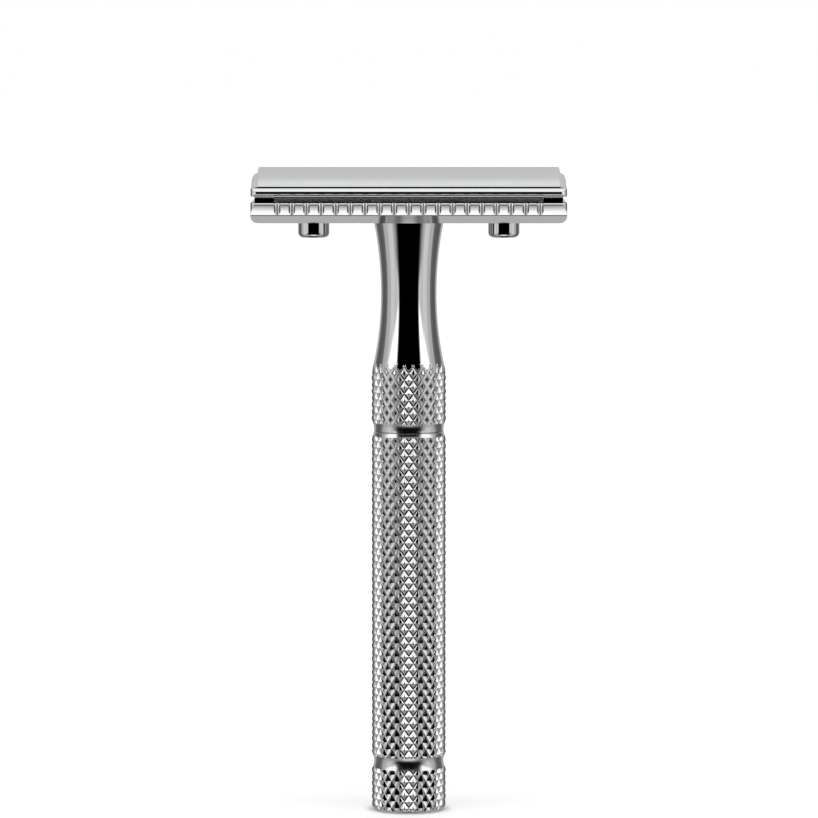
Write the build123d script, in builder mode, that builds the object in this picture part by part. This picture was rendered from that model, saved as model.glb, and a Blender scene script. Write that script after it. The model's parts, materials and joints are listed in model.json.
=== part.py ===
"""Twist-to-open double-edge safety razor, as the separate pieces it is assembled from.

Units are millimetres. +Z is up the handle, X runs along the blade's edge and Y across the head.
The origin is on the handle's axis, at the flat foot of the end knob that the razor stands on.

The base plate and the neck are one fixed unit. Turning the long knurled grip turns the draw nut
inside the neck, and the nut's thread lifts or pulls down the stud of the cap, which clamps the
blade over the arched bed of the base plate. Threads are left plain, as running fits.
"""
from math import cos, radians, sin, sqrt
import os

from build123d import *

# ---------------------------------------------------------------- fits and clearances
running_clearance = 0.05      # radial, between a shaft and the bore it turns or slides in
seat_gap = 0.03               # between faces of two bodies that press on each other
seam_gap = 0.05               # the visible joint between neck and grip
socket_clearance = 0.05       # across the flats of the hexagonal drive

# ---------------------------------------------------------------- grip, knob and neck
grip_diameter = 10.45
groove_depth = 0.35           # of the plain grooves that part the knurled bands
band_chamfer = 0.45           # height of the chamfer at the lower end of a knurled band
knob_height = 6.05
knob_edge_radius = 0.9
lower_groove_height = 1.68
barrel_knurl_length = 45.0
collar_height = 0.6           # plain collar on top of the barrel, below the seam
upper_groove_height = 1.17    # plain land on the neck, above the seam
ring_length = 6.95            # knurled band of the neck, up to where the flare begins
waist_diameter = 7.77
flare_radius = 46.5           # concave flare between the knurled band and the waist
flare_blend_radius = 6.3
throat_radius = 51.0          # concave throat above the waist
throat_length = 10.07         # from the waist up to the base plate

# ---------------------------------------------------------------- drive inside the handle
stud_diameter = 4.9
thread_pitch = 0.8
thread_turns = 7              # turns of the grip that free the stud
nut_wall = 0.7
nut_socket_reserve = 2.5      # depth of the threaded socket below the end of the stud
spigot_wall = 0.8
spigot_bore_clearance = 0.25  # around the stud, radial
neck_shoulder_thickness = 0.6
nut_end_gap = 0.15            # above the draw nut
collar_width = 0.75           # of the draw nut's collar, radial
collar_thickness = 2.0
thrust_washer_thickness = 0.4
spring_washer_thickness = 0.25
spring_washer_height = 0.8
bush_length = 3.3
bush_recess = 0.2
shaft_diameter = 5.2
hex_across_flats = 4.4
hex_length = 4.2
hex_end_gap = 0.15
rod_diameter = 3.2
rod_bore_clearance = 0.1      # in the barrel, radial
rod_in_nut = 6.5
rod_end_wall = 1.8            # metal left under the rod in the end knob
washer_clearance = 0.1        # of washers in their bore, radial

# ---------------------------------------------------------------- blade
blade_length = 42.8
blade_width = 22.0            # measured flat
blade_thickness = 0.1
blade_bend_radius = 25.0      # of the outer face, once it is clamped
blade_corner_length = 2.9     # the cut-away corners that leave a narrower tab at each end
blade_tab_width = 13.2
blade_slot_length = 33.4
blade_slot_width = 2.2
blade_pad_length = 5.4        # the wider ends of the slot
blade_pad_width = 3.5
blade_hole_clearance = 0.2    # around the stud, radial

# ---------------------------------------------------------------- base plate
plate_length = 43.4
plate_width = 25.4            # over both safety bars
plate_corner_radius = 0.9
plate_end_radius = 0.9
blade_seat_height = 5.85      # from the underside of the plate to the outer face of the blade
bed_length = 42.4
bed_width = 18.8
bed_flank = 0.35              # how far the bed's side slopes out
bar_thickness = 1.5
bar_top = 3.0                 # above the underside
bar_bottom = 1.25
bar_face_lean = 0.72          # how far the bar's face leans in at its foot
bar_face_bulge = 0.05
bar_top_radius = 0.22
bar_foot_radius = 0.3
bar_inner_radius = 0.35
channel_depth = 1.2           # of the lather channel behind the bar
underside_width = 13.0        # flat middle of the underside
notch_count = 19
notch_pitch = 2.0
notch_radius = 0.4
notch_depth = 1.54            # measured down the bar's face
notch_slope = 72.0            # degrees, of the flute's floor
notch_edge_radius = 0.08
plate_nut_wall = 1.1
plate_nut_thickness = 1.2
plate_nut_slot = 1.0
plate_web = 3.3               # metal clamped between neck and plate nut

# ---------------------------------------------------------------- guide sleeves and pins
pin_spacing = 26.5
pin_diameter = 3.0
pin_end_gap = 0.3
sleeve_diameter = 4.4
sleeve_shank_diameter = 3.9
sleeve_height = 2.25          # below the plate
sleeve_floor = 0.85
sleeve_edge_radius = 0.7
sleeve_shank_length = 4.9

# ---------------------------------------------------------------- cap
cap_length = 43.5
cap_width = 20.6
cap_crown = 1.72              # thickness in the middle
cap_bead_radius = 0.66        # of the rounded bead along each long edge
cap_bead_drop = 3.28          # from the crown down to the middle of the bead
cap_bead_step = 0.18          # small step from the arched top down onto the bead
cap_raised_length = 41.9
cap_raised_radius = 0.25      # of the raised middle's end edges
cap_end_step = 0.85           # drop from the raised middle to the end flanges
cap_end_radius = 0.7          # of the flanges' end edges
cap_corner_radius = 0.8
anchor_depth = 0.95           # of stud and pins in the cap
stud_head_overhang = 0.75     # of the stud's head in the cap, radial

# ---------------------------------------------------------------- worked-out sizes
grip_radius = grip_diameter / 2
groove_radius = grip_radius - groove_depth
waist_radius = waist_diameter / 2
flare_rise = grip_radius - waist_radius
flare_length = sqrt(2 * flare_radius * flare_rise - flare_rise**2)
throat_end_radius = waist_radius + throat_radius - sqrt(throat_radius**2 - throat_length**2)

barrel_bottom = knob_height
barrel_band_bottom = barrel_bottom + lower_groove_height
barrel_band_top = barrel_band_bottom + barrel_knurl_length
barrel_top = barrel_band_top + collar_height
neck_bottom = barrel_top + seam_gap
ring_bottom = neck_bottom + upper_groove_height
ring_top = ring_bottom + ring_length
waist_height = ring_top + flare_length
plate_bottom = waist_height + throat_length

stud_radius = stud_diameter / 2
nut_bore_radius = stud_radius + running_clearance
nut_radius = nut_bore_radius + nut_wall
neck_bore_radius = nut_radius + running_clearance
spigot_radius = stud_radius + spigot_bore_clearance + spigot_wall
thread_travel = thread_pitch * thread_turns
nut_top = plate_bottom - neck_shoulder_thickness - nut_end_gap
stud_bottom = nut_top - thread_travel
nut_socket_bottom = stud_bottom - nut_socket_reserve

shaft_radius = shaft_diameter / 2
collar_radius = nut_radius + collar_width
chamber_radius = collar_radius + washer_clearance
bush_bottom = neck_bottom + bush_recess
bush_top = bush_bottom + bush_length
collar_bottom = bush_top + spring_washer_height
collar_top = collar_bottom + collar_thickness
chamber_top = collar_top + thrust_washer_thickness + 2 * seat_gap
hex_bottom = barrel_top - hex_length
hex_top = neck_bottom
rod_top = hex_bottom + rod_in_nut
rod_radius = rod_diameter / 2

bend_centre = plate_bottom + blade_seat_height - blade_bend_radius
blade_inner_radius = blade_bend_radius - blade_thickness
bed_radius = blade_inner_radius - seat_gap
cap_seat_radius = blade_bend_radius + seat_gap
cap_underside = bend_centre + cap_seat_radius
cap_top = cap_underside + cap_crown
plate_nut_radius = spigot_radius + plate_nut_wall
plate_nut_bottom = plate_bottom + plate_web
plate_nut_top = plate_nut_bottom + plate_nut_thickness

os.makedirs("parts", exist_ok=True)


def save(piece, name):
    """Labels a finished piece and writes it as its own STEP file."""
    piece.label = name
    export_step(piece, f"parts/{name}.step")


def arch_height(radius, y):
    """Height of the bent blade's family of concentric arcs at a distance y from the middle."""
    return bend_centre + sqrt(radius**2 - y**2)


# ================================================================ grip
with BuildPart() as end_knob:
    with BuildSketch(Plane.XZ) as knob_profile:
        with Locations((0, knob_height / 2)):
            Rectangle(grip_diameter, knob_height)
        fillet(knob_profile.vertices().group_by(Axis.Y)[0], knob_edge_radius)
        with Locations((-grip_radius, knob_height / 2)):
            Rectangle(grip_diameter, knob_height, mode=Mode.SUBTRACT)
    revolve(axis=Axis.Z)
    with Locations((0, 0, knob_height)):
        Hole(rod_radius, knob_height - rod_end_wall)
save(end_knob.part, "end_knob")

with BuildPart() as grip_barrel:
    with BuildSketch(Plane.XZ):
        with BuildLine():
            Polyline(
                (0, barrel_bottom),
                (groove_radius, barrel_bottom),
                (groove_radius, barrel_band_bottom),
                (grip_radius, barrel_band_bottom + band_chamfer),
                (grip_radius, barrel_band_top),
                (groove_radius, barrel_band_top),
                (groove_radius, barrel_top),
                (0, barrel_top),
                close=True,
            )
        make_face()
    revolve(axis=Axis.Z)
    with BuildSketch(Plane.XY.offset(barrel_bottom)):
        Circle(rod_radius + rod_bore_clearance)
    extrude(until=Until.LAST, mode=Mode.SUBTRACT)
    with BuildSketch(Plane.XY.offset(barrel_top)):
        RegularPolygon(hex_across_flats / 2 + socket_clearance / 2, 6, major_radius=False)
    extrude(amount=-(hex_length + hex_end_gap), mode=Mode.SUBTRACT)
save(grip_barrel.part, "grip_barrel")

with BuildPart() as tie_rod:
    with BuildSketch(Plane.XY.offset(rod_end_wall)):
        Circle(rod_radius)
    extrude(amount=rod_top - rod_end_wall)
save(tie_rod.part, "tie_rod")

with BuildPart() as draw_nut:
    with BuildSketch(Plane.XZ):
        with BuildLine():
            Polyline(
                (0, hex_top),
                (shaft_radius, hex_top),
                (shaft_radius, collar_bottom),
                (collar_radius, collar_bottom),
                (collar_radius, collar_top),
                (nut_radius, collar_top),
                (nut_radius, nut_top),
                (nut_bore_radius, nut_top),
                (nut_bore_radius, nut_socket_bottom),
                (0, nut_socket_bottom),
                close=True,
            )
        make_face()
    revolve(axis=Axis.Z)
    with BuildSketch(Plane.XY.offset(hex_top)):
        RegularPolygon(hex_across_flats / 2, 6, major_radius=False)
    extrude(amount=hex_bottom - hex_top)
    with BuildSketch(Plane.XY.offset(hex_bottom)):
        Circle(rod_radius)
    extrude(amount=rod_in_nut, mode=Mode.SUBTRACT)
save(draw_nut.part, "draw_nut")

# ================================================================ neck
with BuildPart() as neck:
    with BuildSketch(Plane.XZ) as neck_profile:
        with BuildLine():
            waist = (waist_radius, waist_height)
            throat_end = (throat_end_radius, plate_bottom)
            Polyline(
                (chamber_radius, neck_bottom),
                (groove_radius, neck_bottom),
                (groove_radius, ring_bottom),
                (grip_radius, ring_bottom + band_chamfer),
                (grip_radius, ring_top),
            )
            RadiusArc((grip_radius, ring_top), waist, -flare_radius)
            RadiusArc(waist, throat_end, -throat_radius)
            Polyline(
                throat_end,
                (spigot_radius, plate_bottom),
                (spigot_radius, plate_nut_top),
                (stud_radius + spigot_bore_clearance, plate_nut_top),
                (stud_radius + spigot_bore_clearance, plate_bottom - neck_shoulder_thickness),
                (neck_bore_radius, plate_bottom - neck_shoulder_thickness),
                (neck_bore_radius, chamber_top),
                (chamber_radius, chamber_top),
                (chamber_radius, neck_bottom),
            )
        make_face()
        flare_corner = neck_profile.vertices().sort_by_distance((grip_radius, ring_top))[0]
        fillet(flare_corner, flare_blend_radius)
    revolve(axis=Axis.Z)
save(neck.part, "neck")

with BuildPart() as neck_bush:
    with BuildSketch(Plane.XY.offset(bush_bottom)):
        Circle(chamber_radius)
        Circle(shaft_radius + running_clearance, mode=Mode.SUBTRACT)
    extrude(amount=bush_length)
save(neck_bush.part, "neck_bush")

with BuildPart() as thrust_washer:
    with BuildSketch(Plane.XY.offset(collar_top + seat_gap)):
        Circle(chamber_radius - running_clearance)
        Circle(nut_radius + running_clearance, mode=Mode.SUBTRACT)
    extrude(amount=thrust_washer_thickness)
save(thrust_washer.part, "thrust_washer")

with BuildPart() as spring_washer:
    washer_radius = collar_radius - washer_clearance
    bow = spring_washer_height - spring_washer_thickness - 2 * seat_gap
    bow_radius = (washer_radius**2 + bow**2) / (2 * bow)
    bow_centre = bush_top + seat_gap + bow + spring_washer_thickness - bow_radius
    with BuildSketch(Plane.YZ):
        with Locations((0, bow_centre)):
            Circle(bow_radius)
            Circle(bow_radius - spring_washer_thickness, mode=Mode.SUBTRACT)
    extrude(amount=washer_radius, both=True)
    with BuildSketch(Plane.XY.offset(bush_top)):
        Circle(washer_radius)
        Circle(shaft_radius + washer_clearance, mode=Mode.SUBTRACT)
    extrude(amount=spring_washer_height, mode=Mode.INTERSECT)
save(spring_washer.part, "spring_washer")

# ================================================================ base plate
with BuildPart() as base_plate:
    bed_edge = bed_width / 2
    bar_front = plate_width / 2
    bar_back = bar_front - bar_thickness
    bar_top_height = plate_bottom + bar_top
    channel_floor = bar_top_height - channel_depth
    face_foot = (bar_front - bar_face_lean, plate_bottom + bar_bottom)
    face_middle = (
        bar_front - bar_face_lean / 2 + bar_face_bulge,
        (bar_top_height + plate_bottom + bar_bottom) / 2,
    )
    with BuildSketch(Plane.YZ) as plate_profile:
        with BuildLine():
            ThreePointArc(
                (-bed_edge, arch_height(bed_radius, bed_edge)),
                (0, arch_height(bed_radius, 0)),
                (bed_edge, arch_height(bed_radius, bed_edge)),
            )
            channel = Polyline(
                (bed_edge, arch_height(bed_radius, bed_edge)),
                (bed_edge + bed_flank, channel_floor),
                (bar_back - bar_inner_radius, channel_floor),
                (bar_back, bar_top_height),
                (bar_front, bar_top_height),
            )
            face = ThreePointArc((bar_front, bar_top_height), face_middle, face_foot)
            underside = Polyline(face_foot, (underside_width / 2, plate_bottom), (0, plate_bottom))
            mirror([channel, face, underside], about=Plane.YZ)
        make_face()
        for side in (-1, 1):
            for corner, radius in (
                ((side * (bed_edge + bed_flank), channel_floor), bar_inner_radius),
                ((side * (bar_back - bar_inner_radius), channel_floor), bar_inner_radius),
                ((side * bar_back, bar_top_height), bar_inner_radius),
                ((side * bar_front, bar_top_height), bar_top_radius),
                ((side * face_foot[0], face_foot[1]), bar_foot_radius),
            ):
                fillet(plate_profile.vertices().sort_by_distance(corner)[0], radius)
    extrude(amount=plate_length / 2, both=True)
    plan_height = blade_seat_height + cap_crown
    with BuildSketch(Plane.XY.offset(plate_bottom)):
        RectangleRounded(plate_length, plate_width, plate_corner_radius)
    extrude(amount=plan_height, mode=Mode.INTERSECT)
    for end in (-1, 1):
        with BuildSketch(Plane.XY.offset(bar_top_height)):
            with Locations((end * plate_length / 2, 0)):
                Rectangle(plate_length - bed_length, plate_width)
        extrude(amount=plan_height, mode=Mode.SUBTRACT)
    end_edges = [
        edge
        for face in (base_plate.faces().sort_by(Axis.X)[0], base_plate.faces().sort_by(Axis.X)[-1])
        for edge in face.edges().filter_by(Axis.Y).group_by(Axis.Z)[0]
    ]
    fillet(end_edges, plate_end_radius)
    notch_foot = bar_front - bar_face_lean * notch_depth / (bar_top - bar_bottom)
    notch_tilt = radians(notch_slope)
    for side in (-1, 1):
        axis_point = (
            0,
            side * (notch_foot + notch_radius * sin(notch_tilt)),
            bar_top_height - notch_depth + notch_radius * cos(notch_tilt),
        )
        axis = Vector(0, -side * cos(notch_tilt), sin(notch_tilt))
        with BuildSketch(Plane(origin=axis_point, x_dir=(side, 0, 0), z_dir=axis)):
            with GridLocations(notch_pitch, 1, notch_count, 1):
                Circle(notch_radius)
                Rectangle(2 * notch_radius, bar_thickness, align=(Align.CENTER, Align.MIN))
        extrude(amount=2 * notch_depth, both=True, mode=Mode.SUBTRACT)
        rims = [
            edge
            for edge in base_plate.edges(Select.LAST)
            if edge.length < notch_pitch and abs((edge % 0.5).dot(axis)) < 0.99
        ]
        fillet(rims, notch_edge_radius)
    with Locations((0, 0, plate_bottom)):
        Hole(spigot_radius)
    with BuildSketch(Plane.XY.offset(plate_nut_bottom)):
        Circle(plate_nut_radius + washer_clearance)
    extrude(amount=plan_height, mode=Mode.SUBTRACT)
    with Locations((0, 0, plate_bottom)):
        with GridLocations(pin_spacing, 1, 2, 1):
            Hole(sleeve_shank_diameter / 2)
save(base_plate.part, "base_plate")

with BuildPart() as plate_nut:
    with BuildSketch(Plane.XY.offset(plate_nut_bottom)):
        Circle(plate_nut_radius)
        Circle(spigot_radius, mode=Mode.SUBTRACT)
    extrude(amount=plate_nut_thickness)
    with BuildSketch(Plane.XY.offset(plate_nut_top)):
        with GridLocations(2 * plate_nut_radius, 1, 2, 1):
            Rectangle(plate_nut_slot, plate_nut_slot)
    extrude(amount=-plate_nut_thickness / 2, mode=Mode.SUBTRACT)
save(plate_nut.part, "plate_nut")

# ================================================================ guide sleeves
sleeve_bottom = plate_bottom - sleeve_height
sleeve_bore_bottom = sleeve_bottom + sleeve_floor
with BuildPart() as guide_sleeve:
    with BuildSketch(Plane.XY.offset(sleeve_bottom)):
        Circle(sleeve_diameter / 2)
    extrude(amount=sleeve_height)
    fillet(guide_sleeve.faces().sort_by(Axis.Z)[0].edges(), sleeve_edge_radius)
    with BuildSketch(Plane.XY.offset(plate_bottom)):
        Circle(sleeve_shank_diameter / 2)
    extrude(amount=sleeve_shank_length)
    with BuildSketch(Plane.XY.offset(sleeve_bore_bottom)):
        Circle(pin_diameter / 2 + running_clearance)
    extrude(amount=sleeve_height + sleeve_shank_length, mode=Mode.SUBTRACT)

# ================================================================ blade
with BuildPart() as blade:
    edge_angle = blade_width / 2 / blade_bend_radius
    edge_y = blade_bend_radius * sin(edge_angle)
    tab_y = blade_bend_radius * sin(blade_tab_width / 2 / blade_bend_radius)
    blade_drop = blade_bend_radius * (1 - cos(edge_angle)) + 2 * blade_thickness
    with BuildSketch(Plane.YZ):
        with Locations((0, bend_centre)):
            Circle(blade_bend_radius)
            Circle(blade_inner_radius, mode=Mode.SUBTRACT)
    extrude(amount=blade_length / 2, both=True)
    with BuildSketch(Plane.XY.offset(cap_underside - blade_drop)):
        Rectangle(blade_length - 2 * blade_corner_length, 2 * edge_y)
        RectangleRounded(blade_length, 2 * tab_y, blade_tab_width / 20)
        Circle(stud_radius + blade_hole_clearance, mode=Mode.SUBTRACT)
        Rectangle(blade_slot_length - blade_pad_length, blade_slot_width, mode=Mode.SUBTRACT)
        with GridLocations(blade_slot_length - blade_pad_length, 1, 2, 1):
            RectangleRounded(blade_pad_length, blade_pad_width, blade_pad_width / 4, mode=Mode.SUBTRACT)
    extrude(amount=blade_drop, mode=Mode.INTERSECT)
save(blade.part, "blade")

# ================================================================ cap
bead_y = cap_width / 2 - cap_bead_radius
bead_z = cap_top - cap_bead_drop
crease_z = bead_z + cap_bead_radius + cap_bead_step

with BuildPart() as cap:
    for length, drop, end_radius in (
        (cap_length, cap_end_step, cap_end_radius),
        (cap_raised_length, 0, cap_raised_radius),
    ):
        edge_z = crease_z - drop / 8
        with BuildPart() as slab:
            with BuildSketch(Plane.YZ):
                with BuildLine():
                    ThreePointArc((-bead_y, edge_z), (0, cap_top - drop), (bead_y, edge_z))
                    Polyline(
                        (bead_y, edge_z),
                        (bead_y, plate_bottom),
                        (-bead_y, plate_bottom),
                        (-bead_y, edge_z),
                    )
                make_face()
            extrude(amount=length / 2, both=True)
            ends = slab.faces().filter_by(Axis.X).sort_by(Axis.X)
            fillet([end.edges().sort_by(Axis.Z)[-1] for end in ends], end_radius)
    with BuildSketch(Plane.YZ):
        with Locations((bead_y, bead_z), (-bead_y, bead_z)):
            Circle(cap_bead_radius)
    extrude(amount=cap_length / 2, both=True)
    with BuildSketch(Plane.XY.offset(plate_bottom)):
        RectangleRounded(cap_length, cap_width, cap_corner_radius)
    extrude(amount=cap_top - plate_bottom, mode=Mode.INTERSECT)
    with BuildSketch(Plane.YZ):
        with Locations((0, bend_centre)):
            Circle(cap_seat_radius)
    extrude(amount=cap_length, both=True, mode=Mode.SUBTRACT)
    with BuildSketch(Plane.XY.offset(cap_underside + anchor_depth)):
        Circle(stud_radius + stud_head_overhang)
        with GridLocations(pin_spacing, 1, 2, 1):
            Circle(pin_diameter / 2)
    extrude(amount=-2 * anchor_depth, mode=Mode.SUBTRACT)
save(cap.part, "cap")

with BuildPart() as cap_stud:
    with BuildSketch(Plane.XY.offset(stud_bottom)):
        Circle(stud_radius)
    extrude(amount=cap_underside - stud_bottom)
    chamfer(cap_stud.faces().sort_by(Axis.Z)[0].edges(), thread_pitch / 2)
    with BuildSketch(Plane.XY.offset(cap_underside)):
        Circle(stud_radius + stud_head_overhang)
    extrude(amount=anchor_depth)
save(cap_stud.part, "cap_stud")

pin_bottom = sleeve_bore_bottom + pin_end_gap
with BuildPart() as guide_pin:
    with BuildSketch(Plane.XY.offset(pin_bottom)):
        Circle(pin_diameter / 2)
    extrude(amount=cap_underside + anchor_depth - pin_bottom)
    chamfer(guide_pin.faces().sort_by(Axis.Z)[0].edges(), pin_diameter / 10)

for name, side in (("left", -1), ("right", 1)):
    place = Pos(side * pin_spacing / 2, 0, 0)
    save(place * guide_sleeve.part, f"guide_sleeve_{name}")
    save(place * guide_pin.part, f"guide_pin_{name}")
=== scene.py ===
# %% [markdown]
# # A twist-to-open safety razor
# The solid model gives every part its true size and place. This lesson dresses it: it cuts the knurling,
# the thread and the polished flare as real meshes, gives each part its metal, and lights them like a
# piece of jewellery, because polished chrome shows nothing but its surroundings.

import json
from functools import partial
from math import atan2, ceil, cos, floor, pi, radians, sin, sqrt, tan

import bmesh
import bpy
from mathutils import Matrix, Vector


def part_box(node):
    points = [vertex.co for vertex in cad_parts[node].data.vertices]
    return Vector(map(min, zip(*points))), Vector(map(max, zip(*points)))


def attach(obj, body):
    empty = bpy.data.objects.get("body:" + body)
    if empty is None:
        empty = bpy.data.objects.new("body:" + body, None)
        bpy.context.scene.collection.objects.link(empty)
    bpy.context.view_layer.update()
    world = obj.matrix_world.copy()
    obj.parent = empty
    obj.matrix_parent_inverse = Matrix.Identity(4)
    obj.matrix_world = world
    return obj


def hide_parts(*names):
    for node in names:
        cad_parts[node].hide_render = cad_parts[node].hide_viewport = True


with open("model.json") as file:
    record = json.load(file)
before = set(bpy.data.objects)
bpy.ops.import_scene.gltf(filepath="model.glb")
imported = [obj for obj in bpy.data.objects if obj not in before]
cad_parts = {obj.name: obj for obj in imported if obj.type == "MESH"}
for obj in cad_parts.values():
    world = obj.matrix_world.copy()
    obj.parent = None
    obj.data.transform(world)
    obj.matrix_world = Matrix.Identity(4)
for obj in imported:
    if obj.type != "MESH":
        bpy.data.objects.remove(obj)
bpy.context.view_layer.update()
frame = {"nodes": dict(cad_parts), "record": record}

MM = 0.001

# %% [markdown]
# ## Shader maths as plain expressions
# A material is a graph of small nodes. Written one node at a time it hides its own idea, so one small
# class wraps a socket and turns +, -, * and / into Math nodes. Everything that isn't arithmetic comes
# from one method, `node`, which sets a node's options first and its inputs second.

# %% Sockets that add up
class Graph:
    """A node tree that hands out wrapped sockets."""

    def __init__(self, tree):
        self.tree = tree
        tree.nodes.clear()

    def node(self, kind, settings=(), inputs=(), out=0):
        made = self.tree.nodes.new(kind)
        for key, value in dict(settings).items():
            if key == "stops":
                ramp = made.color_ramp
                for position, shade in value[2:]:
                    ramp.elements.new(position)
                for element, (position, shade) in zip(ramp.elements, sorted(value)):
                    element.position = position
                    element.color = (*([shade] * 3 if isinstance(shade, (int, float)) else shade), 1)
            else:
                setattr(made, key, value)
        for key, value in dict(inputs).items():
            self.feed(made.inputs[key], value)
        return Sock(self, made.outputs[out]) if made.outputs else made

    def feed(self, target, value):
        if isinstance(value, Sock):
            self.tree.links.new(value.socket, target)
        else:
            target.default_value = value


class Sock:
    """One output socket, with arithmetic."""

    def __init__(self, graph, socket):
        self.graph, self.socket = graph, socket

    def maths(self, operation, *values):
        return self.graph.node("ShaderNodeMath", {"operation": operation}, dict(enumerate(values)))

    def __add__(self, other):
        return self.maths("ADD", self, other)

    def __radd__(self, other):
        return self.maths("ADD", other, self)

    def __sub__(self, other):
        return self.maths("SUBTRACT", self, other)

    def __rsub__(self, other):
        return self.maths("SUBTRACT", other, self)

    def __mul__(self, other):
        return self.maths("MULTIPLY", self, other)

    def __rmul__(self, other):
        return self.maths("MULTIPLY", other, self)

    def __truediv__(self, other):
        return self.maths("DIVIDE", self, other)

    def __rtruediv__(self, other):
        return self.maths("DIVIDE", other, self)

    def smooth(self, low, high, start=0.0, end=1.0):
        """start below low, end above high, and a soft step between."""
        ends = {"From Min": low, "From Max": high, "To Min": start, "To Max": end}
        return self.graph.node(
            "ShaderNodeMapRange", {"interpolation_type": "SMOOTHSTEP"}, {"Value": self, **ends}
        )

    def mix(self, other, share):
        """This value where share is 0, and other where it is 1."""
        return self + (other - self) * share

# %% [markdown]
# ## The camera
# A long lens from a little above gives a calm, nearly flat view. The camera sits
# 660 mm in front of the handle's axis and looks slightly down, so the small rings show as shallow curves.

# %% Camera
CAMERA_DISTANCE = 0.6604
CAMERA_HEIGHT = 0.1107
CAMERA_TILT = radians(4.7)
LENS = 208.5

camera_data = bpy.data.cameras.new("camera")
camera_data.lens = LENS
camera_data.sensor_width = 36
camera_data.clip_start = 0.01
camera = bpy.data.objects.new("camera", camera_data)
camera.location = (0.00003, -CAMERA_DISTANCE, CAMERA_HEIGHT)
camera.rotation_euler = (pi / 2 - CAMERA_TILT, 0, 0)
bpy.context.scene.collection.objects.link(camera)
bpy.context.scene.camera = camera
print("camera aims at height", CAMERA_HEIGHT - CAMERA_DISTANCE * tan(CAMERA_TILT))

# %% [markdown]
# ## The studio
# Chrome is a mirror. A studio shapes it with a black card around the lens, which gives the crisp
# dark stripe down the middle of a round part, white boxes beside the card, and dimmer walls further
# round, which draw the grey stripes near the edges. All of that is painted into the world here, by
# direction, so it is soft, free of noise and the same for every part. The camera itself sees plain white.

# %% World
scene = bpy.context.scene
scene.view_settings.view_transform = "Standard"
world = bpy.data.worlds.new("studio")
scene.world = world
world.use_nodes = True
studio = Graph(world.node_tree)

direction = studio.node("ShaderNodeTexCoord", out="Generated")
x, y, z = (
    studio.node("ShaderNodeSeparateXYZ", inputs={"Vector": direction}, out=axis) for axis in "XYZ"
)
DEGREES = 180 / pi
front_angle = x.maths("ARCTAN2", x.maths("ABSOLUTE", x), y * -1.0) * DEGREES
back_angle = 180.0 - front_angle
height_angle = z.maths("ARCSINE", z) * DEGREES
print("directions are measured from the lens, round the razor and up from the horizon")

# %% [markdown]
# The walls are one ramp of brightness by angle from the lens. Close to the card the ramp is lifted by two
# side boxes that begin a little higher the further round they are, which draws the bright wedge on a
# flare that opens downwards. They stop overhead, so a cap seen from behind keeps its own shading.

# %% Walls and side boxes
CARD_HALF_WIDTH = 40.0            # degrees either side of the lens
SIDE_BOX_GAIN = 1.1               # how much brighter than the wall the side boxes are
SIDE_BOX_RISE = 0.48              # degrees up for each degree round
SIDE_BOX_FOOT = -4.0              # where a box begins, beside the card
SIDE_BOX_TOP = (24, 36)
LOW_WALL = 0.55                   # brightness of the walls' feet against their middle

wall_stops = [
    (0.0, 0.9), (1.0, 1.0), (0.25, 0.92), (0.32, 0.72), (0.345, 0.92), (0.43, 0.85), (0.455, 0.64),
    (0.53, 0.62), (0.565, 0.2), (0.66, 0.13), (0.78, 0.2), (0.84, 0.85),
]
wall = studio.node(
    "ShaderNodeValToRGB", {"stops": wall_stops}, {"Fac": front_angle / 180.0}, out="Color"
)
level = studio.node("ShaderNodeRGBToBW", inputs={"Color": wall})
near_card = front_angle.smooth(72, 100, 1.0, 0.0)
box_edge = (front_angle - CARD_HALF_WIDTH) * SIDE_BOX_RISE + SIDE_BOX_FOOT
lift = (height_angle - box_edge).smooth(-1, 6, 0.0, SIDE_BOX_GAIN)
boxes = 1.0 + lift * height_angle.smooth(*SIDE_BOX_TOP, 1.0, 0.0)
low_walls = height_angle.smooth(-42, -16, LOW_WALL, 1.0)
walls = level.mix(level * boxes * low_walls, near_card)
print("the wall ramp has", len(wall_stops), "stops")

# %% [markdown]
# Over and under the card hang two white boxes, which light the upward and downward faces of the knurling
# and the foot of the safety bar. The back wall is what the top of the cap reflects, so it brightens
# slowly towards the ceiling. Straight below, the table is dark.

# %% Boxes, back wall, ceiling and table
CARD_TOP = 33.0                   # degrees above the horizon
CARD_FOOT = -28.0
WHITE_FOOT = -54.0                # where the white box under the card is at its brightest
OVER_BOX = 1.35
UNDER_BOX = 1.55
CEILING = 1.3
TABLE = 0.06

over = height_angle.smooth(CARD_TOP, CARD_TOP + 8) * front_angle.smooth(12, 46, 1.0, 0.0)
under = height_angle.smooth(WHITE_FOOT, CARD_FOOT, 1.0, 0.0) * front_angle.smooth(10, 42, 1.0, 0.0)
back = back_angle.smooth(25, 45, 1.0, 0.0)
back_level = height_angle.smooth(0, 46, 0.59, 0.8) + height_angle.smooth(41, 54, 0.0, 0.25)
back_level = back_level * height_angle.smooth(-34, -4, 0.85, 1.0)
ceiling = height_angle.smooth(64, 84)
table = height_angle.smooth(-72, -56, 1.0, 0.0)
brightness = walls.mix(back_level, back).mix(OVER_BOX, over).mix(UNDER_BOX, under)
brightness = brightness.mix(CEILING, ceiling).mix(TABLE, table)
print("boxes", OVER_BOX, UNDER_BOX, "ceiling", CEILING, "table", TABLE)

# %% [markdown]
# The card itself goes over everything else. Its sides are sharp where it faces the waist and soft lower
# down, where the throat of the neck shows them.

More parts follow.
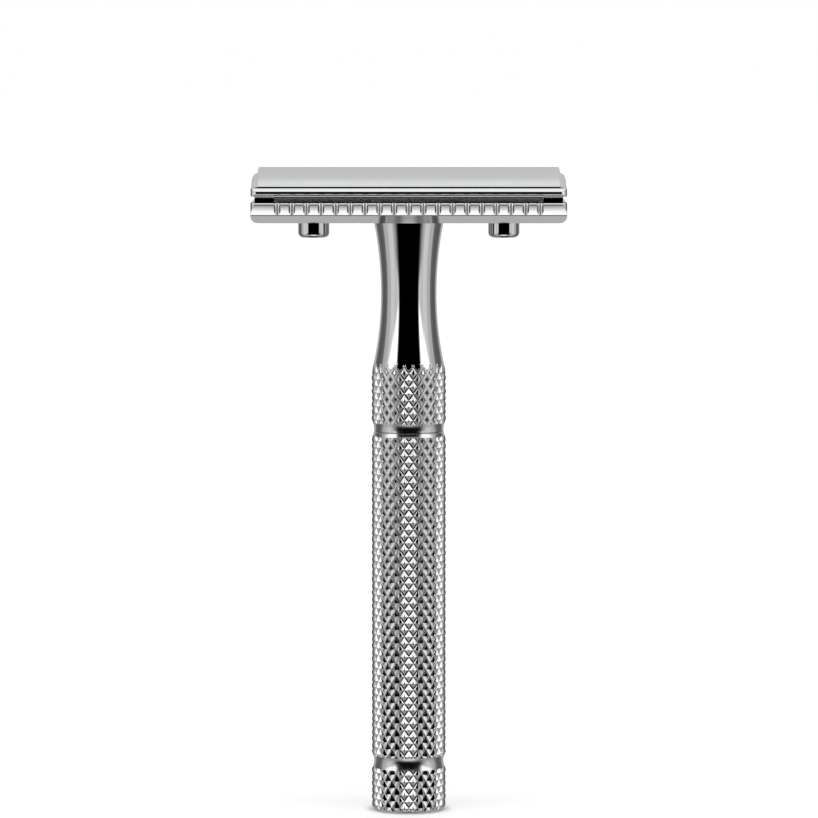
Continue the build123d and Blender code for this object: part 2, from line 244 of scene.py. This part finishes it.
# %% Card
SIDE_BLUR = (24, 7)               # degrees of blur of the card's sides, low down and from the middle up
blur = height_angle.smooth(-16, -4, *SIDE_BLUR)
card = (
    front_angle.smooth(CARD_HALF_WIDTH - 2, CARD_HALF_WIDTH - 2 + blur, 1.0, 0.0)
    * height_angle.smooth(WHITE_FOOT, CARD_FOOT)
    * height_angle.smooth(CARD_TOP - 2, CARD_TOP + 4, 1.0, 0.0)
)
brightness = brightness * (1.0 - card)

seen = studio.node("ShaderNodeLightPath", out="Is Camera Ray")
shown = brightness.mix(1.0, seen)
background = studio.node("ShaderNodeBackground", inputs={"Color": (1, 1, 1, 1), "Strength": shown})
studio.node("ShaderNodeOutputWorld", inputs={"Surface": background})
print("the card reaches", CARD_HALF_WIDTH, "degrees to each side, from", CARD_FOOT, "to", CARD_TOP)

# %% [markdown]
# The floor only has to be pale and quiet. It glows a little on top of the light that falls on it, so it
# stays clean white, except right under the knob, where the glow fades out by distance from the axis: a
# painted contact shadow added to the real one.
# It is also left out of mirror reflections, which belong to the painted studio.

# %% Floor
FLOOR_GLOW = 0.36
# painted contact shadow: the floor's glow fades out near the axis, so the floor is darker under the knob
PAINTED_SHADOW_RIM = (4.6 * MM, 6.6 * MM)   # from the axis: no glow inside the first, all of it past the second

grid = bmesh.new()
bmesh.ops.create_grid(grid, x_segments=1, y_segments=1, size=6.0)
floor_mesh = bpy.data.meshes.new("floor")
grid.to_mesh(floor_mesh)
grid.free()
ground_plane = bpy.data.objects.new("floor", floor_mesh)
scene.collection.objects.link(ground_plane)
ground_plane.visible_glossy = False

paint = bpy.data.materials.new("floor_white")
paint.use_nodes = True
mixing = Graph(paint.node_tree)
matt = mixing.node("ShaderNodeBsdfDiffuse", inputs={"Color": (0.97, 0.97, 0.97, 1)})
spot = mixing.node("ShaderNodeTexCoord", out="Object")
reach = mixing.node("ShaderNodeVectorMath", {"operation": "LENGTH"}, {0: spot}, out="Value")
# the glow is faded out inside the rim, which paints a darker ring of shadow on the floor under the knob
glow_outside_painted_shadow = reach.smooth(*PAINTED_SHADOW_RIM, 0.0, FLOOR_GLOW)
glow = mixing.node("ShaderNodeEmission", inputs={"Color": (1, 1, 1, 1), "Strength": glow_outside_painted_shadow})
both = mixing.node("ShaderNodeAddShader", inputs={0: matt, 1: glow})
mixing.node("ShaderNodeOutputMaterial", inputs={"Surface": both})
floor_mesh.materials.append(paint)
print("the floor glows", FLOOR_GLOW, "past", PAINTED_SHADOW_RIM[1] / MM, "mm from the axis")

# %% [markdown]
# ## Metals
# Four metals cover the razor. Each starts from the Principled shader at full metallic, with its own
# colour. What tells them apart is how they were finished: plating is nearly a mirror with the faintest
# uneven polish, turned parts keep fine rings from the lathe, and blade strip has a rolled grain. The
# plain grooves of the handle are plated too, but still show the lathe, so `satin` roughens them by height.

# %% Finishes
SATIN_EDGE = 0.03 * MM            # over which the satin of a groove gives way to polish


def metal(name, colour, roughness, spread, bump, scale, grain=(1, 1, 1), tint=0.04, satin=()):
    """A metal with an uneven polish: noise stretched by grain drives roughness, tone and a fine bump.
    satin lists (low, high) heights that keep the rougher surface of the lathe."""
    made = bpy.data.materials.new(name)
    made.use_nodes = True
    graph = Graph(made.node_tree)
    place = graph.node("ShaderNodeTexCoord", out="Object")
    stretched = graph.node("ShaderNodeMapping", inputs={"Vector": place, "Scale": grain})
    detail = {"Vector": stretched, "Scale": scale, "Detail": 3.0}
    cloud = graph.node("ShaderNodeTexNoise", inputs={**detail, "Scale": scale * 0.12})
    fine = graph.node("ShaderNodeTexNoise", inputs=detail)
    dark = (*[c * (1 - tint) for c in colour], 1)
    tone = graph.node(
        "ShaderNodeMix", {"data_type": "RGBA"}, {"Factor": cloud, 6: dark, 7: (*colour, 1)}, out=2
    )
    rough = roughness + spread * (0.6 * cloud + 0.4 * fine)
    if satin:
        height = graph.node("ShaderNodeSeparateXYZ", inputs={"Vector": place}, out="Z")
        rings = graph.node("ShaderNodeMapping", inputs={"Vector": place, "Scale": (0.02, 0.02, 1)})
        streaks = graph.node("ShaderNodeTexNoise", inputs={"Vector": rings, "Scale": 9000, "Detail": 2.0})
        for low, high in satin:
            inside = height.smooth(low, low + SATIN_EDGE) * height.smooth(high - SATIN_EDGE, high, 1.0, 0.0)
            rough = rough + inside * (0.05 + 0.22 * streaks)
    relief = graph.node("ShaderNodeBump", inputs={"Strength": 1.0, "Distance": bump, "Height": fine})
    shader = graph.node(
        "ShaderNodeBsdfPrincipled",
        inputs={"Base Color": tone, "Metallic": 1.0, "Roughness": rough, "Normal": relief},
    )
    graph.node("ShaderNodeOutputMaterial", inputs={"Surface": shader})
    return made


chrome = metal("polished_chrome", (0.66, 0.665, 0.67), 0.02, 0.03, 0.0, 900)
stainless = metal("turned_stainless", (0.55, 0.55, 0.54), 0.16, 0.16, 2e-6, 2500, grain=(1, 1, 12))
blade_steel = metal("rolled_blade_steel", (0.8, 0.805, 0.81), 0.2, 0.16, 1e-6, 3000, grain=(0.05, 1, 1))
brass = metal("turned_brass", (0.75, 0.56, 0.27), 0.18, 0.16, 2e-6, 2500, grain=(1, 1, 12))

metals = {"chrome_plate": chrome, "stainless": stainless, "blade_steel": blade_steel, "brass": brass}
for part in frame["record"]["subparts"]:
    node = frame["nodes"][part["node"]]
    node.data.materials.clear()
    node.data.materials.append(metals[part["material_slot"]])
print("finishes", sorted(m.name for m in metals.values()))

# %% [markdown]
# ## Knurling
# Knurling is rolled into a turned bar by two hardened wheels, one for each slant of groove. It leaves a
# net of small pyramids, a little rounded where the plating has softened their points. A bump map would
# show nothing at the outline, so the net is real geometry. A grid wrapped round the bar holds the whole
# pattern: every other corner of the grid is a point, and the rest lie in the grooves. One
# `connect_verts` joins the low corners across each square, which draws both families of grooves at once.

# %% Knurl
KNURL_AROUND = 24                 # pyramids round the bar
KNURL_PITCH = 1.876 * MM          # from one pyramid to the next, along the bar
KNURL_DEPTH = 0.34 * MM
KNURL_SHAPE = 1.25                # 1 gives sharp pyramids, 2 gives round ones
COLUMNS = 2 * KNURL_AROUND


def knurl_radius(tip, turn, height, phase):
    """Radius of the knurled surface at an angle round the bar and a height."""
    across = turn / (2 * pi) * COLUMNS
    along = (height - phase) / (KNURL_PITCH / 2)
    one, two = across + along, across - along
    off = max(abs(one - 2 * round(one / 2)), abs(two - 2 * round(two / 2)))
    return tip - KNURL_DEPTH * off**KNURL_SHAPE


def knurled_band(bm, tip, low, high, phase, envelope, cuts, kinks=()):
    """A knurled skin between two heights. envelope(height) is the turned bar that it was rolled into."""
    half = KNURL_PITCH / 2
    first, last = floor((low - phase) / half), ceil((high - phase) / half)
    band = bmesh.new()
    turned(band, [(tip, phase + row * half) for row in range(first, last + 1)], COLUMNS)

    def row_and_column(vert):
        turn = atan2(vert.co.y, vert.co.x)
        return round((vert.co.z - phase) / half), round(turn / (2 * pi) * COLUMNS)

    low_corners = [vert for vert in band.verts if sum(row_and_column(vert)) % 2]
    bmesh.ops.connect_verts(band, verts=low_corners)
    bmesh.ops.subdivide_edges(band, edges=band.edges, cuts=cuts, use_grid_fill=True)
    planes = [(low, -1, True), (high, 1, True)] + [(kink, 1, False) for kink in kinks]
    for height, side, clear in planes:
        bmesh.ops.bisect_plane(
            band,
            geom=band.verts[:] + band.edges[:] + band.faces[:],
            plane_co=(0, 0, height),
            plane_no=(0, 0, side),
            dist=1e-8,
            clear_outer=clear,
        )
    for vert in band.verts:
        turn = atan2(vert.co.y, vert.co.x)
        radius = min(knurl_radius(tip, turn, vert.co.z, phase), envelope(vert.co.z))
        vert.co.x, vert.co.y = radius * cos(turn), radius * sin(turn)
    mesh = bpy.data.meshes.new("band")
    band.to_mesh(mesh)
    band.free()
    before = set(bm.faces)
    bm.from_mesh(mesh)
    bpy.data.meshes.remove(mesh)
    return [face for face in bm.faces if face not in before]

# %% [markdown]
# ## Turned parts
# Everything else on the handle came off a lathe, so it is a profile spun round the axis. A profile is a
# list of (radius, height) corners. `arc` adds the rounded stretches, and `join_rims` closes the seam
# between a plain ring and a knurled band, whose rims need not have the same number of corners.

# %% Lathe helpers
def turned(bm, profile, steps):
    """Spins a profile into a skin round Z, and returns its new faces."""
    corners = [bm.verts.new((radius, 0, height)) for radius, height in profile]
    edges = [bm.edges.new(pair) for pair in zip(corners, corners[1:])]
    before = set(bm.faces)
    bmesh.ops.spin(
        bm, geom=corners + edges, cent=(0, 0, 0), axis=(0, 0, 1), angle=2 * pi, steps=steps, use_merge=True
    )
    return [face for face in bm.faces if face not in before]


def arc(centre, radius, first, last, parts):
    """Corners on an arc, for a profile: angles in degrees from the horizontal."""
    angles = (radians(first + (last - first) * k / parts) for k in range(parts + 1))
    return [(centre[0] + radius * cos(a), centre[1] + radius * sin(a)) for a in angles]


def between(points, height):
    """Radius of a profile at a height."""
    for (r0, z0), (r1, z1) in zip(points, points[1:]):
        if z0 <= height <= z1:
            return r0 + (r1 - r0) * (height - z0) / (z1 - z0)
    return points[0][0] if height < points[0][1] else points[-1][0]


def join_rims(bm, *heights):
    """Closes the seam between the two open rims at each height."""
    for height in heights:
        rims = [
            edge for edge in bm.edges
            if edge.is_boundary and all(abs(vert.co.z - height) < 1e-7 for vert in edge.verts)
        ]
        bmesh.ops.bridge_loops(bm, edges=rims)
    bmesh.ops.remove_doubles(bm, verts=bm.verts, dist=2e-7)


def finish_mesh(bm, name, body, material, replaced, knurl=()):
    """Turns a bmesh into a piece that rides on a body and replaces CAD nodes. Only knurl stays flat."""
    bmesh.ops.remove_doubles(bm, verts=bm.verts, dist=2e-7)
    flat = {face for face in knurl if face.is_valid}
    for face in bm.faces:
        face.smooth = face not in flat
    for edge in bm.edges:
        if len(edge.link_faces) == 2 and edge.calc_face_angle() > radians(28):
            edge.smooth = False
    bmesh.ops.recalc_face_normals(bm, faces=bm.faces)
    open_edges = sum(edge.is_boundary for edge in bm.edges)
    mesh = bpy.data.meshes.new(name)
    bm.to_mesh(mesh)
    bm.free()
    piece = bpy.data.objects.new(name, mesh)
    scene.collection.objects.link(piece)
    mesh.materials.append(material)
    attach(piece, body)
    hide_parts(*replaced)
    print(name, len(mesh.polygons), "faces", open_edges, "open edges")
    return piece

# %% [markdown]
# ## The handle
# Every height comes from the solids' own boxes, and the few sizes that a box can't tell are named here.

# %% Heights
knob_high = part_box("end_knob")[1]
barrel_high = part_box("grip_barrel")[1]
neck_low, neck_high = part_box("neck")
rod_low, rod_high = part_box("tie_rod")
TIP = barrel_high.x
GROOVE = TIP - 0.35 * MM
ROD = rod_high.x
KNOB_TOP = knob_high.z
BARREL_TOP = barrel_high.z
NECK_FOOT = neck_low.z
PLATE_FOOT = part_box("base_plate")[0].z
BAND_LOW = KNOB_TOP + 1.68 * MM
BAND_HIGH = BARREL_TOP - 0.6 * MM
RING_LOW = NECK_FOOT + 1.17 * MM
RING_HIGH = RING_LOW + 6.95 * MM
BAND_CHAMFER = 0.27 * MM
LIP = 0.12 * MM                   # the small broken edge at the top of a knurled band
print("knob top", KNOB_TOP, "barrel top", BARREL_TOP, "neck foot", NECK_FOOT, "plate", PLATE_FOOT)

grooves = [(KNOB_TOP, BAND_LOW), (BAND_HIGH, RING_LOW)]
knurled = metal("knurled_chrome", (0.64, 0.645, 0.65), 0.02, 0.04, 0.0, 1500, satin=grooves)
print("grooves, mm", [(round(low / MM, 2), round(high / MM, 2)) for low, high in grooves])

# %% [markdown]
# The two plain grooves are coved, a little hollow from top to bottom. That is what makes their lower
# edges catch the light and their upper edges fade, so a straight cylinder would look wrong here.

# %% Grooves
COVE = 0.17 * MM                  # how much wider a groove is at its edges than in the middle


def cove(low, high, first, last, parts=10):
    """Profile corners from height first to last of the groove that runs from low to high."""
    middle, half = (low + high) / 2, (high - low) / 2
    heights = (first + (last - first) * k / parts for k in range(parts + 1))
    return [(GROOVE + COVE * ((height - middle) / half) ** 2, height) for height in heights]


lower_cove = cove(KNOB_TOP, BAND_LOW, KNOB_TOP, BAND_LOW)
collar_cove = cove(BAND_HIGH, RING_LOW, BAND_HIGH, BARREL_TOP)
neck_cove = cove(BAND_HIGH, RING_LOW, NECK_FOOT, RING_LOW)
EDGE = GROOVE + COVE
SEAM_EDGE = 0.06 * MM             # broken edges where barrel and neck meet
collar_cove[-1] = (collar_cove[-1][0] - SEAM_EDGE, BARREL_TOP)
collar_cove[-2] = (collar_cove[-2][0], BARREL_TOP - SEAM_EDGE)
neck_cove[0] = (neck_cove[0][0] - SEAM_EDGE, NECK_FOOT)
neck_cove[1] = (neck_cove[1][0], NECK_FOOT + SEAM_EDGE)

# %% [markdown]
# The knob's foot is a turned curve. The knurling starts just above the flat and rides up over it, so
# the points are cut down by the curve's own radius, as they are when a knurled bar is rounded off.

# %% End knob
KNOB_CORNER = 0.9 * MM
KNURL_FOOT = 0.3 * MM
KNOB_PHASE = 1.72 * MM
KNOB_CUTS = 3
KNOB_STEPS = COLUMNS * (KNOB_CUTS + 1)
foot_curve = arc((TIP - KNOB_CORNER, KNOB_CORNER), KNOB_CORNER, -90, 0, 24)
knob_envelope = foot_curve + [(TIP, KNOB_TOP - LIP), (TIP - LIP, KNOB_TOP)]
below_knurl = [corner for corner in foot_curve if corner[1] < KNURL_FOOT - 1e-6]
below_knurl.append((between(knob_envelope, KNURL_FOOT), KNURL_FOOT))

knob = bmesh.new()
turned(knob, [(0, 0), *below_knurl], KNOB_STEPS)
turned(knob, [(EDGE, KNOB_TOP), (ROD, KNOB_TOP), (ROD, rod_low.z), (0, rod_low.z)], KNOB_STEPS)
knob_knurl = knurled_band(
    knob, TIP, KNURL_FOOT, KNOB_TOP, KNOB_PHASE, partial(between, knob_envelope), KNOB_CUTS,
    [KNOB_TOP - LIP],
)
join_rims(knob, KNURL_FOOT, KNOB_TOP)
finish_mesh(knob, "knurled_knob", "grip", knurled, ["end_knob"], knob_knurl)

# %% [markdown]
# The barrel is one long knurled band between two plain grooves. Inside it is bored for the tie rod, and
# its top holds the six-sided socket that turns the draw nut. The socket is spun round like the rest, and
# then its corners are pushed out from the axis onto the six flats.

# %% Barrel
BARREL_PHASE = 0.57 * MM
BARREL_CUTS = 3
BARREL_STEPS = COLUMNS * (BARREL_CUTS + 1)
ROD_BORE = ROD + 0.1 * MM
HEX_HALF = 2.225 * MM             # from the axis to a flat of the socket
SOCKET_FLOOR = BARREL_TOP - 4.35 * MM
barrel_envelope = [
    (EDGE, BAND_LOW), (TIP, BAND_LOW + BAND_CHAMFER), (TIP, BAND_HIGH - LIP), (TIP - LIP, BAND_HIGH)
]

barrel = bmesh.new()
turned(barrel, [(ROD_BORE, SOCKET_FLOOR), (ROD_BORE, KNOB_TOP), *lower_cove], BARREL_STEPS)
turned(barrel, [*collar_cove, (2 * ROD, BARREL_TOP)], BARREL_STEPS)
socket_profile = [(2 * ROD, BARREL_TOP), (HEX_HALF, BARREL_TOP), (HEX_HALF, SOCKET_FLOOR)]
socket = turned(barrel, socket_profile, BARREL_STEPS)
for vert in {vert for face in socket for vert in face.verts}:
    if vert.co.xy.length < 1.01 * HEX_HALF:
        turn = atan2(vert.co.y, vert.co.x) % (pi / 3) - pi / 6
        vert.co.xy *= 1 / cos(turn)
bmesh.ops.remove_doubles(barrel, verts=barrel.verts, dist=2e-7)
barrel_knurl = knurled_band(
    barrel, TIP, BAND_LOW, BAND_HIGH, BARREL_PHASE, partial(between, barrel_envelope), BARREL_CUTS,
    [BAND_LOW + BAND_CHAMFER, BAND_HIGH - LIP],
)
join_rims(barrel, BAND_LOW, BAND_HIGH, SOCKET_FLOOR)
finish_mesh(barrel, "knurled_barrel", "grip", knurled, ["grip_barrel"], barrel_knurl)

# %% [markdown]
# The neck starts as the same knurled bar and is then turned away into a slim waist and out again, so
# the knurling fades into the polish one cut-off pyramid at a time. `neck_radius` is that turned shape:
# a small convex blend, a hollow arc down to the waist, and another up to the plate. The knurled band
# takes the smaller of the two radii, and finer squares keep the fading points crisp.

# %% Neck
NECK_PHASE = 0.75 * MM
NECK_CUTS = 5
WAIST = 3.885 * MM
FLARE = 46.5 * MM
THROAT = 51.0 * MM
BLEND = 6.3 * MM
waist_height = RING_HIGH + sqrt(FLARE**2 - (FLARE - (TIP - WAIST)) ** 2)
blend_drop = sqrt((FLARE + BLEND) ** 2 - (WAIST + FLARE - TIP + BLEND) ** 2)
blend_middle = (TIP - BLEND, waist_height - blend_drop)
blend_end = blend_middle[1] + BLEND / (FLARE + BLEND) * (waist_height - blend_middle[1])


def neck_radius(height):
    """Radius of the turned neck, from the knurled ring up to the plate."""
    if height < blend_middle[1]:
        return between([(EDGE, RING_LOW), (TIP, RING_LOW + BAND_CHAMFER)], height)
    if height < blend_end:
        return blend_middle[0] + sqrt(BLEND**2 - (height - blend_middle[1]) ** 2)
    hollow = FLARE if height < waist_height else THROAT
    return WAIST + hollow - sqrt(hollow**2 - (height - waist_height) ** 2)


KNURL_END = RING_HIGH + 2.6 * MM  # above this the flare has turned all the knurling away
NECK_STEPS = COLUMNS * (NECK_CUTS + 1)
STUD_HOLE = 2.7 * MM
SHOULDER = PLATE_FOOT - 0.6 * MM
washer_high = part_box("thrust_washer")[1]
CHAMBER = washer_high.x + 0.05 * MM
CHAMBER_TOP = washer_high.z + 0.03 * MM
NUT_BORE = 3.25 * MM
SPIGOT = 3.5 * MM
polish = [KNURL_END + (PLATE_FOOT - KNURL_END) * k / 48 for k in range(49)]

neck = bmesh.new()
turned(
    neck,
    [
        *((neck_radius(height), height) for height in polish),
        (SPIGOT, PLATE_FOOT), (SPIGOT, neck_high.z), (STUD_HOLE, neck_high.z), (STUD_HOLE, SHOULDER),
        (NUT_BORE, SHOULDER), (NUT_BORE, CHAMBER_TOP), (CHAMBER, CHAMBER_TOP), (CHAMBER, NECK_FOOT),
        *neck_cove,
    ],
    NECK_STEPS,
)
neck_knurl = knurled_band(
    neck, TIP, RING_LOW, KNURL_END, NECK_PHASE, neck_radius, NECK_CUTS, [RING_LOW + BAND_CHAMFER]
)
turned_away = {
    face for face in neck_knurl
    if all(neck_radius(vert.co.z) - vert.co.xy.length < 1e-7 for vert in face.verts)
}
join_rims(neck, RING_LOW, KNURL_END)
finish_mesh(
    neck, "knurled_neck", "frame", knurled, ["neck"], set(neck_knurl) - turned_away
)

# %% [markdown]
# ## The stud's thread
# When the grip is turned, the cap rises on its stud and the thread comes into view. A thread is one
# short V spun round and lifted at the same time. Neighbouring turns share their edge, so
# `remove_doubles` welds the coil into one skin, and two flat cuts trim its ends.

# %% Threaded stud
stud_low, stud_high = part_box("cap_stud")
STUD = 2.45 * MM
THREAD_PITCH = 0.8 * MM
THREAD_DEPTH = 0.42 * MM
THREAD_STEPS = 36
HEAD_HEIGHT = 0.95 * MM
PLAIN_SHANK = 0.6 * MM            # between the thread and the head
HEAD_FLOOR = stud_high.z - HEAD_HEIGHT
thread_top = HEAD_FLOOR - PLAIN_SHANK
coils = ceil((thread_top - stud_low.z) / THREAD_PITCH) + 2

stud = bmesh.new()
crest = THREAD_PITCH / 8          # width of the flat along the top of the thread
start = stud_low.z - THREAD_PITCH
root = STUD - THREAD_DEPTH
middle = THREAD_PITCH / 2
vee = [(root, 0), (STUD, middle - crest), (STUD, middle), (root, THREAD_PITCH)]
corners = [stud.verts.new((radius, 0, start + height)) for radius, height in vee]
edges = [stud.edges.new(pair) for pair in zip(corners, corners[1:])]
bmesh.ops.spin(
    stud, geom=corners + edges, cent=(0, 0, 0), axis=(0, 0, 1), dvec=(0, 0, THREAD_PITCH / THREAD_STEPS),
    angle=2 * pi * coils, steps=THREAD_STEPS * coils,
)
bmesh.ops.remove_doubles(stud, verts=stud.verts, dist=1e-6)
for height, side in ((stud_low.z, -1), (thread_top, 1)):
    bmesh.ops.bisect_plane(
        stud,
        geom=stud.verts[:] + stud.edges[:] + stud.faces[:],
        plane_co=(0, 0, height),
        plane_no=(0, 0, side),
        dist=1e-8,
        clear_outer=True,
    )
foot_rim = [
    edge for edge in stud.edges if edge.is_boundary and edge.verts[0].co.z < thread_top - 1e-6
]
bmesh.ops.holes_fill(stud, edges=foot_rim)
head = [(stud_high.x, HEAD_FLOOR), (stud_high.x, stud_high.z), (0, stud_high.z)]
turned(stud, [(STUD, thread_top), (STUD, HEAD_FLOOR), *head], THREAD_STEPS)
join_rims(stud, thread_top)
finish_mesh(stud, "threaded_stud", "cap", stainless, ["cap_stud"])
